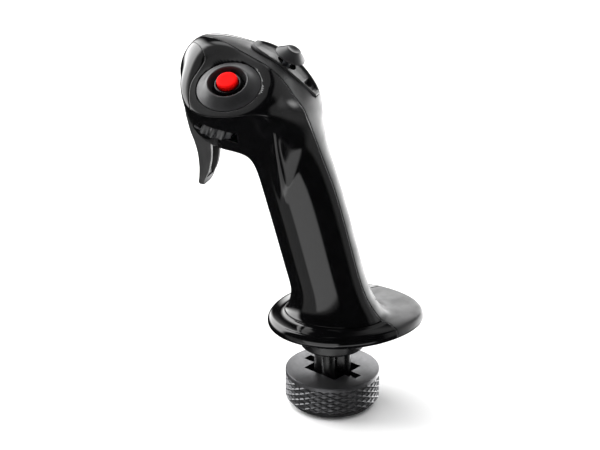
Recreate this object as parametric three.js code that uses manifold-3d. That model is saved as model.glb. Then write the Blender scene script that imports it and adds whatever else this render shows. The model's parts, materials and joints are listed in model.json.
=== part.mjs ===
// A detachable flight-stick grip: handle, head with controls, hand rest and screw-on coupling.
// Millimetres. +Z is up, +Y points forward (away from the pilot), +X is the pilot's right.
// The origin is the centre of the coupling's flat lower face, on the collar's axis.

import * as THREE from "three";
import { mergeVertices } from "three/addons/utils/BufferGeometryUtils.js";
import Module from "manifold-3d";

const wasm = await Module();
wasm.setup();

// ---------------------------------------------------------------- driving dimensions
const GAP = 0.3; // space left between pieces that touch
const WALL = 2.2; // thickness of the covers

const COLLAR = { radius: 24, height: 18, bore: 18.2, roof: 13, chamfer: 3, hole: 20.5 };
const COLLAR_NOTCH = { width: 5, reach: 17, depth: 2.5 };
const COLLAR_TURN = THREE.MathUtils.degToRad(-21.5);
const PLUG = { radius: 16.6, height: 11.5, socket: 6.2, socketDepth: 8.5 };
const PINS = { count: 5, circle: 4.3, radius: 0.6 };
const COLUMN = { arm: 7, reach: 9.6, top: 30.7, bore: 2.3 };
const CUP = { base: 31.1, rim: 39.7, top: 44, radius: 17.2, foot: 14.6, spigot: 15.2 };
const REST_BASE = 40; // underside of the hand rest
const REST_TOP = 47.4;
const HANDLE_LEAN = 16.3; // degrees forward
const TUBE = { radius: 6.5, bore: 4.2, length: 84, foot: 13.5, footHeight: 3 };
const HARNESS_RADIUS = 1.8;

// The flat round face for the button: it blends into the head out to the blend radius, between the
// net's columns for the lip and for the ridge along the top.
const BOSS = {
  centre: [-28, 43.3, 172.0], normal: [-0.503, -0.033, 0.863], opening: 15.8,
  flat: 17, blend: 34, lipLow: 3, lipHigh: 4.3, ridge: 7.5, ridgeBlend: 1.5,
};
const BEZEL = { radius: 15.4, rim: 9.6, height: 3.7, bore: 8.9, throat: 7, back: 4.6 };
const BUTTON = { radius: 5.05, top: 5.8, base: 1.2, travel: 1.4, stem: 1.6 };

const STICK = { pivot: [0, 27.0, 172.0], tilt: 26, capBase: 9.6, capTop: 14.2, baseRadius: 7.6, topRadius: 3.3 };
const PANEL = { front: [41, 186.4], rear: [8.2, 163.4], length: 40, radius: 61, thick: 2.6, thin: 1.2, half: 8.4 };

const TRIGGER_PIVOT = [69, 156.5]; // [y, z]
const TRIGGER = { half: 6.5, tip: 110.2, wall: 2.2, lever: 2.6, hub: 4.4, bore: 1.75, coil: 3.4 };
const WELL = { half: 7.3, rear: 57.5, top: 146 };

const WHEEL = { centre: [-23.4, 52.6, 150.4], tilt: 20, radius: 10, thickness: 6, bore: 2.1, lobe: 0.8, lobes: 11 };

// The slot that the wheel shows through, in the wheel's frame.
const SLOT = { width: 26, length: 17.6, offset: [-4, -4.8], below: 1, above: 1.2, clear: 0.7 };

const SCREW = { shank: 1.35, head: 2.7, headHeight: 1.8, boss: 3.3, pilot: 1.7 };
// Shell screws: [y, z] on the handle and head.
const SCREW_PLACES = [[18.2, 72], [1.8, 90], [30.2, 113.5], [50.5, 137]];

// ---------------------------------------------------------------- colours
const FINISH = {
  gloss: [0x141416, 0.16, 0],
  satin: [0x2b2b2e, 0.5, 0],
  matte: [0x1d1d1f, 0.7, 0],
  anodised: [0x3a3a3c, 0.42, 0.8],
  steel: [0xb8bac0, 0.3, 1],
  brass: [0xc8a24a, 0.3, 1],
  zinc: [0x8c8e92, 0.45, 0.9],
  red: [0xe0140c, 0.35, 0],
  board: [0x14532d, 0.6, 0],
  cable: [0x202020, 0.6, 0],
  module: [0x3c3f45, 0.6, 0],
};

// ---------------------------------------------------------------- solids
const grip = new THREE.Group();

function solidOf(geometry) {
  const plain = geometry.clone();
  plain.deleteAttribute("normal");
  plain.deleteAttribute("uv");
  const merged = mergeVertices(plain, 1e-4);
  const index = Array.from(merged.index.array);
  const kept = [];
  for (let i = 0; i < index.length; i += 3) {
    const [a, b, c] = index.slice(i, i + 3);
    if (a !== b && b !== c && c !== a) kept.push(a, b, c);
  }
  const vertProperties = new Float32Array(merged.attributes.position.array);
  return new wasm.Manifold(new wasm.Mesh({ numProp: 3, vertProperties, triVerts: new Uint32Array(kept) }));
}

function geometryOf(solid) {
  const mesh = solid.getMesh();
  const geometry = new THREE.BufferGeometry();
  geometry.setAttribute("position", new THREE.Float32BufferAttribute(mesh.vertProperties, 3));
  geometry.setIndex(new THREE.Uint32BufferAttribute(mesh.triVerts, 1));
  geometry.computeVertexNormals();
  return geometry;
}

function addPiece(name, shape, finish, parent = grip) {
  const geometry = shape.isBufferGeometry ? shape : geometryOf(shape);
  const [color, roughness, metalness] = FINISH[finish];
  const mesh = new THREE.Mesh(geometry, new THREE.MeshStandardMaterial({ color, roughness, metalness }));
  mesh.name = name;
  parent.add(mesh);
  return mesh;
}

// A solid turned round Z from [radius, z] points.
function turned(points, sides = 32) {
  const profile = points.map(([radius, z]) => new THREE.Vector2(radius, z));
  return solidOf(new THREE.LatheGeometry(profile, sides).rotateX(Math.PI / 2));
}

function rod(radius, low, high, sides = 20) {
  return turned([[0, low], [radius, low], [radius, high], [0, high]], sides);
}

function pipe(inner, outer, low, high, sides = 24) {
  return turned([[inner, low], [outer, low], [outer, high], [inner, high], [inner, low]], sides);
}

function block(width, depth, low, high, x = 0, y = 0) {
  const box = new THREE.BoxGeometry(width, depth, high - low);
  return solidOf(box.translate(x, y, (low + high) / 2));
}

// A plate cut to a [y, z] outline, between two x values.
function sidePlate(outline, left, right) {
  const shape = new THREE.Shape(outline.map(([y, z]) => new THREE.Vector2(y, z)));
  const plate = new THREE.ExtrudeGeometry(shape, { depth: right - left, bevelEnabled: false });
  const upright = new THREE.Matrix4().makeBasis(
    new THREE.Vector3(0, 1, 0), new THREE.Vector3(0, 0, 1), new THREE.Vector3(1, 0, 0),
  );
  return solidOf(plate.applyMatrix4(upright).translate(left, 0, 0));
}

// A frame with its origin at a point and its Z along an axis; X stays as level as it can.
function frameAt(origin, axis) {
  const z = new THREE.Vector3(...axis).normalize();
  const x = new THREE.Vector3(0, 1, 0).cross(z).normalize();
  const y = new THREE.Vector3().crossVectors(z, x);
  return new THREE.Matrix4().makeBasis(x, y, z).setPosition(...origin);
}

function leaning(degrees) {
  const angle = THREE.MathUtils.degToRad(degrees);
  return [0, Math.sin(angle), Math.cos(angle)];
}

function groupAt(matrix) {
  const group = new THREE.Group();
  group.applyMatrix4(matrix);
  grip.add(group);
  return group;
}

function placed(solid, matrix) {
  return solid.transform(matrix.toArray());
}

// ---------------------------------------------------------------- body surface
// The grip's outer surface is a cubic B-spline net. Each row of the net is a closed ring of
// control points, counted from the front (or underside) over the left to the back and right.
const RING = 16;
const NET_GAIN = 3 / (2 + Math.cos((2 * Math.PI) / RING)); // a spline ring runs inside its points

// Plan of the hand rest: [x, y].
const REST_CENTRE = [6, -3];
const REST_PLAN = [
  [3, 34.5], [-10, 32], [-19.5, 25], [-25.5, 15], [-27.5, 3], [-26, -9], [-20.5, -19.5], [-12, -29.5],
  [0, -37.5], [13, -42], [24.5, -41], [35.2, -33.5], [42.5, -20], [45.5, -4], [39.5, 14], [24, 31],
];

// A round section: [lateral, along the chord], the chord running from 0 to 1.
const ROUND = Array.from({ length: RING }, (_, k) => {
  const angle = (2 * Math.PI * k) / RING;
  return [-Math.sin(angle) * NET_GAIN, 0.5 - 0.5 * Math.cos(angle) * NET_GAIN];
});

// The head's section: a thumb face that falls to a lip on the left, and a plain round right side.
const WINGED = [
  [0, -0.02], [-0.26, 0], [-0.52, 0.17], [-0.86, 0.44], [-1.08, 0.59], [-1.0, 0.71], [-0.7, 0.84], [-0.36, 0.95],
  [0, 1.02], [0.38, 1.0], [0.74, 0.9], [1.0, 0.68], [1.05, 0.48], [0.88, 0.27], [0.58, 0.1], [0.26, 0],
];

// Sections from the foot of the handle to the nose: ends of the chord on the front or underside
// and on the back or top, both [y, z]; half-widths left and right; how far the section is winged;
// and how far the lip is lifted along the chord.
const SECTIONS = [
  { low: [22.6, 53.0], high: [-24.2, 53.5], left: 17.0, right: 17.5, wing: 0, lift: 0 },
  { low: [21.0, 60.5], high: [-19.0, 61.5], left: 15.7, right: 15.7, wing: 0, lift: 0 },
  { low: [24.2, 70.0], high: [-15.2, 73.0], left: 15.5, right: 15.5, wing: 0, lift: 0 },
  { low: [29.4, 88.5], high: [-9.4, 95.0], left: 15.5, right: 15.5, wing: 0, lift: 0 },
  { low: [34.8, 106.5], high: [-2.9, 117.0], left: 15.5, right: 15.5, wing: 0, lift: 0 },
  { low: [38.6, 120.2], high: [3.4, 134.0], left: 16, right: 16, wing: 0, lift: 0 },
  { low: [42.3, 127.6], high: [7.2, 148.0], left: 19, right: 18, wing: 0.15, lift: 0.12 },
  { low: [47.5, 130.0], high: [7.4, 161.5], left: 27, right: 21, wing: 0.5, lift: 0.12 },
  { low: [53.5, 131.2], high: [15.5, 173.0], left: 37, right: 23, wing: 0.85, lift: 0.08 },
  { low: [60.0, 133.2], high: [29.0, 180.0], left: 43, right: 23.5, wing: 1, lift: 0.0 },
  { low: [66.5, 137.8], high: [43.5, 184.5], left: 43.5, right: 22.5, wing: 1, lift: -0.08 },
  { low: [70.5, 145.0], high: [56.0, 187.0], left: 35, right: 20, wing: 0.9, lift: -0.1 },
  { low: [73.0, 151.5], high: [66.0, 187.2], left: 23.2, right: 17, wing: 0.6, lift: -0.08 },
  { low: [75.5, 157.0], high: [72.4, 185.0], left: 13.5, right: 13, wing: 0.3, lift: 0 },
  { low: [77.6, 163.0], high: [77.2, 178.0], left: 7.5, right: 7.5, wing: 0, lift: 0 },
  { low: [78.2, 169.5], high: [78.2, 171.5], left: 1, right: 1, wing: 0, lift: 0 },
  { low: [78.2, 170.5], high: [78.2, 170.5], left: 0, right: 0, wing: 0, lift: 0 },
];

function mix(a, b, t) {
  return a + (b - a) * t;
}

function ease(t) {
  const s = Math.min(Math.max(t, 0), 1);
  return s * s * s * (s * (6 * s - 15) + 10);
}

function sectionRing(section) {
  return ROUND.map(([roundX, roundChord], k) => {
    const lateral = mix(roundX, WINGED[k][0], section.wing);
    const lifted = lateral < 0 ? section.lift * Math.sin(Math.PI * Math.min(Math.max(roundChord, 0), 1)) : 0;
    const chord = mix(roundChord, WINGED[k][1], section.wing) + lifted;
    return [
      lateral * (lateral < 0 ? section.left : section.right),
      mix(section.low[0], section.high[0], chord),
      mix(section.low[1], section.high[1], chord),
    ];
  });
}

// The hand rest's plan drawn in towards its centre.
function restRing(scale, z) {
  return REST_PLAN.map(([x, y]) => [mix(REST_CENTRE[0], x, scale), mix(REST_CENTRE[1], y, scale), z]);
}

// Between another ring and the hand rest's plan.
function blendRing(ring, share, z) {
  return REST_PLAN.map(([x, y], k) => [mix(ring[k][0], x, share), mix(ring[k][1], y, share), z]);
}

const UNDER_RING = ROUND.map(([lateral], k) => [
  lateral * (CUP.radius + 1.1),
  Math.cos((2 * Math.PI * k) / RING) * NET_GAIN * (CUP.radius + 1.1),
]);

const NET = [
  blendRing(UNDER_RING, 0, REST_BASE),
  blendRing(UNDER_RING, 0.25, REST_BASE),
  restRing(0.9, REST_BASE),
  restRing(1.0, REST_BASE + 1),
  restRing(1.02, 44),
  restRing(0.985, 46.8),
  restRing(0.93, REST_TOP),
  blendRing(sectionRing(SECTIONS[0]), 0.55, 48),
  blendRing(sectionRing(SECTIONS[0]), 0.2, 48.8),
  ...SECTIONS.map(sectionRing),
];
const NOSE_TIP = NET.length - 1;

function splineWeights(t) {
  const u = 1 - t;
  return [
    (u * u * u) / 6,
    (3 * t * t * t - 6 * t * t + 4) / 6,
    (-3 * t * t * t + 3 * t * t + 3 * t + 1) / 6,
    (t * t * t) / 6,
  ];
}

const bossCentre = new THREE.Vector3(...BOSS.centre);
const bossNormal = new THREE.Vector3(...BOSS.normal).normalize();

// Draws a point near the boss, above the lip, onto the boss's flat face.
function flattened(point, a) {
  const offset = point.clone().sub(bossCentre);
  const height = offset.dot(bossNormal);
  const radius = offset.addScaledVector(bossNormal, -height).length();
  const near = 1 - ease((radius - BOSS.flat) / (BOSS.blend - BOSS.flat));
  const above = ease((a - BOSS.lipLow) / (BOSS.lipHigh - BOSS.lipLow)) * (1 - ease((a - BOSS.ridge) / BOSS.ridgeBlend));
  return point.addScaledVector(bossNormal, -height * near * above);
}

// Point of the body surface. s counts rows of the net, a counts control points round a ring.
function bodyPoint(s, a) {
  const row = Math.min(Math.floor(s), NOSE_TIP - 1);
  const column = Math.floor(a);
  const rowWeights = splineWeights(s - row);
  const columnWeights = splineWeights(a - column);
  const point = new THREE.Vector3();
  rowWeights.forEach((rowWeight, i) => {
    const ring = NET[Math.min(Math.max(row - 1 + i, 0), NOSE_TIP)];
    columnWeights.forEach((columnWeight, j) => {
      const control = ring[(((column - 1 + j) % RING) + RING) % RING];
      point.addScaledVector(new THREE.Vector3(...control), rowWeight * columnWeight);
    });
  });
  return flattened(point, ((a % RING) + RING) % RING);
}

const STEP = 0.02;
function bodyNormal(s, a) {
  if (s > NOSE_TIP - 0.3) return new THREE.Vector3(0, 1, 0);
  const along = bodyPoint(s + STEP, a).sub(bodyPoint(s - STEP, a));
  const around = bodyPoint(s, a + STEP).sub(bodyPoint(s, a - STEP));
  return around.cross(along).normalize();
}

// ---------------------------------------------------------------- seams between the covers
const SKIRT_ROW = 8.0; // where the handle's skirt meets the hand rest
const SPINE_END = 21.5; // front end of the spine cover
const TOP_COLUMN = RING / 2;

// Columns of the spine cover's left edge, key by key: [row, column].
const SPINE_LEFT = [
  [0, 7.7], [6, 7.72], [7.2, 7.85], [8.2, 7.75], [9.5, 7.42], [11, 7.3], [13.2, 7.3], [14.4, 7.05],
  [15.6, 6.68], [16.6, 6.7], [18, 7.2], [19.4, 7.55], [20.6, 7.85], [SPINE_END, 7.97],
];
// The right edge mirrors it down the handle and swings out on the hand rest.
const SPINE_RIGHT = SPINE_LEFT.map(([row, column]) => [row, mix(RING - column, 12.5, ease((9.8 - row) / 2.6))]);

function alongKeys(keys, t) {
  const last = keys.length - 1;
  if (t <= keys[0][0]) return keys[0][1];
  if (t >= keys[last][0]) return keys[last][1];
  const i = keys.findIndex(([key]) => key > t) - 1;
  const span = keys[i + 1][0] - keys[i][0];
  return mix(keys[i][1], keys[i + 1][1], (t - keys[i][0]) / span);
}

function spineLeft(s) {
  return s >= SPINE_END ? TOP_COLUMN : alongKeys(SPINE_LEFT, s);
}

function spineRight(s) {
  return s >= SPINE_END ? TOP_COLUMN : alongKeys(SPINE_RIGHT, s);
}

// Row where the side shells end and the nose cover begins.
function noseRow(a) {
  const side = Math.abs((((a + TOP_COLUMN) % RING) + RING) % RING - TOP_COLUMN);
  return 20.25 + 1.9 * ease((side - 6.3) / 1.4) - ease((5.6 - side) / 2);
}

// Changes a parameter by the given distance along the surface.
function rowsFor(distance, s, a) {
  return (distance * 2 * STEP) / bodyPoint(s + STEP, a).distanceTo(bodyPoint(s - STEP, a));
}

function columnsFor(distance, s, a) {
  return (distance * 2 * STEP) / bodyPoint(s, a + STEP).distanceTo(bodyPoint(s, a - STEP));
}

// ---------------------------------------------------------------- covers
// A closed wall that follows the body surface. place(u, v) gives the row and column at
// u along and v across the cover, both from 0 to 1. wrap joins v = 1 to v = 0.
// grow adds to the wall on both faces.
function coverOf(place, rows, columns, { wrap = false, grow = 0 } = {}) {
  const positions = [];
  const index = [];
  const count = wrap ? columns : columns + 1;
  [-grow, WALL + grow].forEach((depth) => {
    for (let i = 0; i <= rows; i += 1) {
      for (let j = 0; j < count; j += 1) {
        const [s, a] = place(i / rows, j / columns);
        const point = bodyPoint(s, a).addScaledVector(bodyNormal(s, a), -depth);
        positions.push(point.x, point.y, point.z);
      }
    }
  });
  const layer = (rows + 1) * count;
  const at = (i, j, inner) => (inner ? layer : 0) + i * count + (j % count);
  const apart = (p, q) => Math.hypot(...[0, 1, 2].map((k) => positions[3 * p + k] - positions[3 * q + k]));
  const quad = (p, q, r, t) => {
    if (apart(p, r) <= apart(q, t)) index.push(p, q, r, p, r, t);
    else index.push(p, q, t, q, r, t);
  };
  for (let i = 0; i < rows; i += 1) {
    for (let j = 0; j < columns; j += 1) {
      quad(at(i, j, false), at(i, j + 1, false), at(i + 1, j + 1, false), at(i + 1, j, false));
      quad(at(i, j, true), at(i + 1, j, true), at(i + 1, j + 1, true), at(i, j + 1, true));
    }
  }
  for (let j = 0; j < columns; j += 1) {
    quad(at(0, j, false), at(0, j, true), at(0, j + 1, true), at(0, j + 1, false));
    quad(at(rows, j, false), at(rows, j + 1, false), at(rows, j + 1, true), at(rows, j, true));
  }
  for (let i = 0; i < rows && !wrap; i += 1) {
    quad(at(i, 0, false), at(i + 1, 0, false), at(i + 1, 0, true), at(i, 0, true));
    quad(at(i, columns, false), at(i, columns, true), at(i + 1, columns, true), at(i + 1, columns, false));
  }
  const geometry = new THREE.BufferGeometry();
  geometry.setAttribute("position", new THREE.Float32BufferAttribute(positions, 3));
  geometry.setIndex(index);
  return solidOf(geometry);
}

const HALF_GAP = GAP / 2;
const SHELL_GRID = [28, 10]; // rows and columns of each side shell
const SPINE_GRID = [30, 6];

// Side shell between the front mid-line and the spine cover; side is -1 left, +1 right.
// Each of these takes the space to leave at its seams.
function sideShellPlace(side, space = HALF_GAP) {
  const column = (s, v) => {
    const [low, high] = side < 0 ? [0, spineLeft(s)] : [spineRight(s), RING];
    return mix(low + columnsFor(space, s, low), high - columnsFor(space, s, high), v);
  };
  return (u, v) => {
    let end = noseRow(0);
    for (let pass = 0; pass < 6; pass += 1) end = noseRow(column(end, v));
    const start = SKIRT_ROW + rowsFor(space, SKIRT_ROW, column(SKIRT_ROW, v));
    const s = mix(start, end - rowsFor(space, end, column(end, v)), u);
    return [s, column(s, v)];
  };
}

function spinePlace(space = HALF_GAP) {
  return (u, v) => {
    const s = mix(0.25, SPINE_END, u);
    const left = spineLeft(s) + columnsFor(space, s, spineLeft(s));
    const right = spineRight(s) - columnsFor(space, s, spineRight(s));
    return [s, mix(left, Math.max(right, left + 0.02), v)];
  };
}

function restPlace(u, v) {
  const s = mix(0.25, SKIRT_ROW, u);
  const left = spineLeft(s) - columnsFor(HALF_GAP, s, spineLeft(s));
  const right = spineRight(s) - RING + columnsFor(HALF_GAP, s, spineRight(s));
  const a = mix(right, left, v);
  return [u === 1 ? s - rowsFor(HALF_GAP, s, a) : s, a];
}

function nosePlace(u, v) {
  const a = v * RING;
  const start = noseRow(a);
  return [mix(start + rowsFor(GAP, start, a), NOSE_TIP, u), a];
}

// The whole body as one closed form, a little inside the surface; it trims the screw bosses.
function bodyCore(inset) {
  const rows = 36;
  const columns = 32;
  const positions = [];
  const index = [];
  for (let i = 0; i <= rows; i += 1) {
    for (let j = 0; j < columns; j += 1) {
      const s = mix(7.5, NOSE_TIP - 1.5, i / rows);
      const a = (RING * j) / columns;
      const point = bodyPoint(s, a).addScaledVector(bodyNormal(s, a), -inset);
      positions.push(point.x, point.y, point.z);
    }
  }
  const at = (i, j) => i * columns + (j % columns);
  for (let i = 0; i < rows; i += 1) {
    for (let j = 0; j < columns; j += 1) {
      index.push(at(i, j), at(i, j + 1), at(i + 1, j + 1), at(i, j), at(i + 1, j + 1), at(i + 1, j));
    }
  }
  for (let j = 1; j < columns - 1; j += 1) {
    index.push(at(0, 0), at(0, j + 1), at(0, j), at(rows, 0), at(rows, j), at(rows, j + 1));
  }
  const geometry = new THREE.BufferGeometry();
  geometry.setAttribute("position", new THREE.Float32BufferAttribute(positions, 3));
  geometry.setIndex(index);
  return solidOf(geometry);
}

// A cylinder along X through [y, z], between two x values.
function crossRod(radius, left, right, y, z, sides = 16) {
  const turn = new THREE.Matrix4().makeRotationY(Math.PI / 2).setPosition(0, y, z);
  return placed(rod(radius, left, right, sides), turn);
}

// Space that the trigger swings in.
function triggerWell() {
  const outline = [
    [WELL.rear, 118], [WELL.rear, 138], [60.5, WELL.top - 3], [66, WELL.top + 6],
    [70, 163.5], [76.3, 163.5], [84, 158], [90, 118],
  ];
  return sidePlate(outline, -WELL.half, WELL.half);
}

const bossFrame = frameAt(BOSS.centre, BOSS.normal);
const wheelFrame = frameAt(WHEEL.centre, leaning(-WHEEL.tilt));
const stickFrame = frameAt(STICK.pivot, leaning(-STICK.tilt));

function wheelSlot() {
  const half = WHEEL.thickness / 2;
  const [low, high] = [-half - SLOT.below, half + SLOT.above];
  const mouth = block(SLOT.width, SLOT.length, low, high, ...SLOT.offset);
  return placed(mouth.add(rod(WHEEL.radius + SLOT.clear, low, high, 48)), wheelFrame);
}

function halfShell(side, core) {
  let shell = coverOf(sideShellPlace(side), ...SHELL_GRID);
  SCREW_PLACES.forEach(([y, z]) => {
    const [from, to] = side < 0 ? [-32, -HALF_GAP] : [HALF_GAP, 32];
    shell = shell.add(crossRod(SCREW.boss, from, to, y, z).intersect(core));
    shell = shell.subtract(crossRod(SCREW.pilot, -8, 30, y, z));
  });
  return shell.subtract(triggerWell());
}

// The biggest of the separate bodies in a solid.
function largest(solid) {
  return solid.decompose().reduce((best, part) => (part.volume() > best.volume() ? part : best));
}

function addCovers() {
  const core = bodyCore(1.1);
  let left = halfShell(-1, core);
  left = left.subtract(placed(rod(BOSS.opening, -7, 9, 48), bossFrame));
  left = left.subtract(wheelSlot()).subtract(panelSolid(GAP));
  let right = halfShell(1, core).subtract(panelSolid(GAP));
  SCREW_PLACES.forEach(([y, z]) => {
    right = right.subtract(crossRod(SCREW.head + GAP, headSeat(y, z), 32, y, z));
  });
  addPiece("left_shell", largest(left), "gloss");
  addPiece("right_shell", largest(right), "gloss");
  const grown = { grow: 2 * GAP };
  const sides = [-1, 1].map((side) => coverOf(sideShellPlace(side, -HALF_GAP), ...SHELL_GRID, grown));
  const clear = (cover) => largest(sides.reduce((rest, side) => rest.subtract(side), cover));
  const spine = clear(coverOf(spinePlace(), ...SPINE_GRID));
  const spineSpace = coverOf(spinePlace(-HALF_GAP), ...SPINE_GRID, grown);
  const openings = placed(rod(6.2, 0, 14, 24), stickFrame).add(panelSolid(GAP));
  addPiece("spine_cover", largest(spine.subtract(openings)), "satin");
  const nose = clear(coverOf(nosePlace, 6, 20, { wrap: true })).subtract(spineSpace).subtract(triggerWell())
    .subtract(wheelSlot());
  addPiece("nose_cover", largest(nose.subtract(left).subtract(right)), "gloss");
  addPiece("hand_rest", largest(clear(coverOf(restPlace, 8, 20)).subtract(spineSpace)), "gloss");
}

// x of the seat under a screw's head: a little under the right shell's surface.
function headSeat(y, z) {
  const surface = surfaceRight(y, z);
  return surface - SCREW.headHeight - 0.6;
}

// x of the right side of the body at [y, z].
function surfaceRight(y, z) {
  let best = { distance: Infinity, x: 0 };
  for (let i = 0; i <= 150; i += 1) {
    for (let j = 0; j <= 40; j += 1) {
      const point = bodyPoint(mix(9, 22, i / 150), mix(9, 15.8, j / 40));
      const distance = Math.hypot(point.y - y, point.z - z);
      if (distance < best.distance) best = { distance, x: point.x };
    }
  }
  return best.x;
}

function addShellScrews() {
  SCREW_PLACES.forEach(([y, z], k) => {
    const seat = headSeat(y, z);
    const shank = crossRod(SCREW.shank, -6, seat + 1, y, z, 12);
    const head = crossRod(SCREW.head, seat + HALF_GAP, seat + SCREW.headHeight, y, z);
    const drive = crossRod(0.9, seat + 0.8, seat + 9, y, z, 6);
    addPiece(`shell_screw_${k + 1}`, shank.add(head).subtract(drive), "zinc");
  });
}

// ---------------------------------------------------------------- coupling
function squareHole(low, high) {
  const turn = new THREE.Matrix4().makeRotationZ(COLLAR_TURN);
  const square = block(COLLAR.hole, COLLAR.hole, low, high);
  return placed(square, turn);
}

function addCollar() {
  const { radius, height, bore, roof, chamfer } = COLLAR;
  let collar = turned([
    [0, 0], [radius - chamfer, 0], [radius, chamfer + 0.5], [radius, height - 0.8], [radius - 0.8, height], [0, height],
  ], 48);
  collar = collar.subtract(rod(bore, -1, roof, 36)).subtract(squareHole(roof - 1, height + 1));
  const turn = new THREE.Matrix4().makeRotationZ(COLLAR_TURN);
  const notch = block(COLLAR_NOTCH.width, 2 * COLLAR_NOTCH.reach, height - COLLAR_NOTCH.depth, height + 1);
  addPiece("locking_collar", collar.subtract(placed(notch, turn)), "anodised");
  addPiece("collar_washer", pipe(12.4, bore - 0.4, 11.9, roof - GAP, 40), "steel");
}

function addPlug() {
  const { radius, height, socket, socketDepth } = PLUG;
  let plug = rod(radius, 0, height, 32).subtract(rod(socket, -1, socketDepth, 32));
  plug = plug.subtract(block(3.4, 5, -1, 5, 0, radius)).subtract(rod(COLUMN.bore, 0, height + 1, 12));
  for (let k = 0; k < PINS.count; k += 1) {
    const angle = (2 * Math.PI * k) / PINS.count;
    const place = new THREE.Matrix4().makeTranslation(PINS.circle * Math.sin(angle), PINS.circle * Math.cos(angle), 0);
    plug = plug.subtract(placed(rod(PINS.radius + GAP, 2, height + 1, 8), place));
    const pin = addPiece(`contact_pin_${k + 1}`, rod(PINS.radius, 2.5, height - 0.5, 8), "brass");
    pin.applyMatrix4(place);
  }
  addPiece("connector_body", plug, "matte");
  addPiece("locating_key", block(2.6, 2.6, 0.4, 4.4, 0, radius - 0.7), "steel");
}

function addColumn() {
  const { arm, reach, top, bore } = COLUMN;
  const low = PLUG.height + GAP;
  const round = rod(reach, low, top, 32);
  let column = block(arm, 3 * reach, low, top).add(block(3 * reach, arm, low, top)).intersect(round);
  column = column.add(rod(11.8, low, 12.6, 32));
  column = column.subtract(rod(bore, low - 1, top + 1, 12));
  addPiece("neck_column", column, "matte");
}

function addCup() {
  const { base, rim, top, radius, foot, spigot } = CUP;
  const profile = [
    [0, base], [foot, base], [radius - 0.8, base + 1.5], [radius - 0.3, 36], [radius, rim], [spigot, rim],
    [spigot, top], [0, top],
  ];
  let cup = turned(profile, 32).subtract(rod(COLUMN.bore, base - 1, top + 1, 12));
  [-1, 1].forEach((side, k) => {
    const place = new THREE.Matrix4().makeTranslation(10.4 * side, 0, 0);
    cup = cup.subtract(placed(rod(1.7, 28, top + 1, 12), place)).subtract(placed(rod(3, 28, 37, 16), place));
    const screw = rod(1.35, 34, top + 2, 12).add(rod(2.6, 35, 36.7, 16)).subtract(rod(0.9, 30, 35.8, 6));
    addPiece(`base_screw_${k + 1}`, screw, "zinc").applyMatrix4(place);
  });
  addPiece("base_cup", cup, "matte");
}

function addCore() {
  const start = [0, -0.5, CUP.top + GAP + 1];
  const frame = frameAt(start, leaning(HANDLE_LEAN));
  const low = CUP.top + GAP;
  let tube = placed(rod(TUBE.radius, -6, TUBE.length, 20), frame);
  tube = tube.subtract(block(80, 80, low - 20, low)).add(rod(TUBE.foot, low, low + TUBE.footHeight, 32));
  tube = tube.subtract(placed(rod(TUBE.bore, -6, TUBE.length + 1, 16), frame));
  tube = tube.subtract(rod(COLUMN.bore, low - 1, low + 8, 12));
  [-10.4, 10.4].forEach((x) => {
    const place = new THREE.Matrix4().makeTranslation(x, 0, 0);
    tube = tube.subtract(placed(rod(1.7, low - 1, low + 2.2, 12), place));
  });
  addPiece("core_tube", tube, "zinc");
}

function addHarness() {
  const points = [
    [0, 0, 12.2], [0, 0, 30], [0, 0.1, 46], [0, 6, 66], [0, 18, 107], [0, 25, 131], [1, 30, 141], [4, 34, 147],
  ];
  const route = new THREE.CatmullRomCurve3(points.map((point) => new THREE.Vector3(...point)));
  const corners = Array.from({ length: 8 }, (_, k) => (Math.PI * k) / 4);
  const section = new THREE.Shape(
    corners.map((angle) => new THREE.Vector2(HARNESS_RADIUS * Math.cos(angle), HARNESS_RADIUS * Math.sin(angle))),
  );
  const harness = new THREE.ExtrudeGeometry(section, { steps: 32, bevelEnabled: false, extrudePath: route });
  addPiece("wiring_harness", solidOf(harness), "cable");
}

function addBoard() {
  const outline = [[27, 146], [48, 141], [58, 150], [58, 166], [34, 170], [25, 160]];
  let board = sidePlate(outline, 7, 8.6);
  board = board.add(sidePlate([[34, 150], [44, 150], [44, 160], [34, 160]], 8.5, 10));
  board = board.add(sidePlate([[48, 154], [54, 154], [54, 163], [48, 163]], 8.5, 11));
  addPiece("main_board", board, "board");
}

// ---------------------------------------------------------------- red button
function addButton() {
  const place = groupAt(bossFrame);
  const { radius, rim, height, bore, throat, back } = BEZEL;
  const bezel = turned([
    [bore, -back], [radius, -back], [radius, 0], [14.9, 0.7],
    [12.6, 1.7], [10.8, 3.0], [rim + 0.3, height], [rim - 0.2, height], [throat + 0.3, 0.2],
    [throat, -0.8], [bore, -0.8], [bore, -back],
  ], 36);
  addPiece("button_bezel", bezel, "satin", place);
  const collar = turned([
    [5.4, -1], [4.8, -1], [4.8, -5.5], [BUTTON.stem + 0.3, -5.5], [BUTTON.stem + 0.3, -7], [6.4, -7], [6.4, -3],
    [bore - GAP, -3], [bore - GAP, -1.2], [6.4, -1.2], [6.4, 2.2], [6.1, 2.6], [5.4, 2.6], [5.4, -1],
  ], 24);
  addPiece("button_collar", collar, "matte", place);
  const { radius: cap, top, base, stem } = BUTTON;
  const plunger = turned([
    [0, -6.9], [stem, -6.9], [stem, top - 1.4], [4.1, top - 1.4], [4.1, base], [cap, base],
    [cap, top - 0.7], [cap - 0.25, top - 0.2], [cap - 0.9, top], [0, top],
  ], 24);
  addPiece("red_button", plunger, "red", place);
  addPiece("button_spring", pipe(2.4, 3.6, -5.2, 2.6, 20), "steel", place);
  addPiece("button_switch", block(8, 8, -13, -8.7).add(rod(1.2, -9, -8.6, 12)), "module", place);
}

// ---------------------------------------------------------------- mini-stick
const PANEL_SWEEP = panelArc();

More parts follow.
